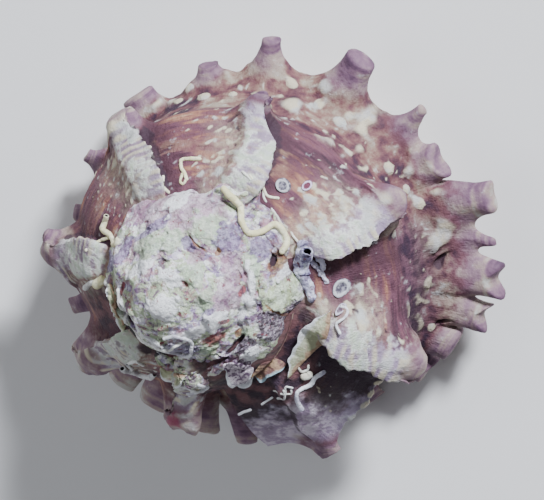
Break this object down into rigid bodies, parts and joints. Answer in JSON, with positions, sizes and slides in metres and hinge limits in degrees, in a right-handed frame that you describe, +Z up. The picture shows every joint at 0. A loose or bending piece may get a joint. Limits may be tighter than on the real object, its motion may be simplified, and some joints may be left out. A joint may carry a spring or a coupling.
{
  "type": "star snail shell",
  "caption": "Spiny, top-shaped sea snail shell with a worn, lime-crusted spire, ribs that end in blunt spines, and an open mouth underneath.",
  "frame": {"origin": "bottom centre of the bounding box, on the surface that the shell rests on", "axes": "+Z up as the shell rests on its base; +X along the longest extent, with the mouth at the -Y side opening towards -X; the apex leans about 11.5 degrees from +Z"},
  "size_m": [0.0722, 0.0672, 0.0407],
  "materials": {
    "shell": "weathered lime shell: mauve-brown and cream bands, whitish ribs, pink-lavender spines and a mottled lime crust on the spire"
  },
  "bodies": {
    "root": {"shell": "shell"}
  },
  "joints": []
}
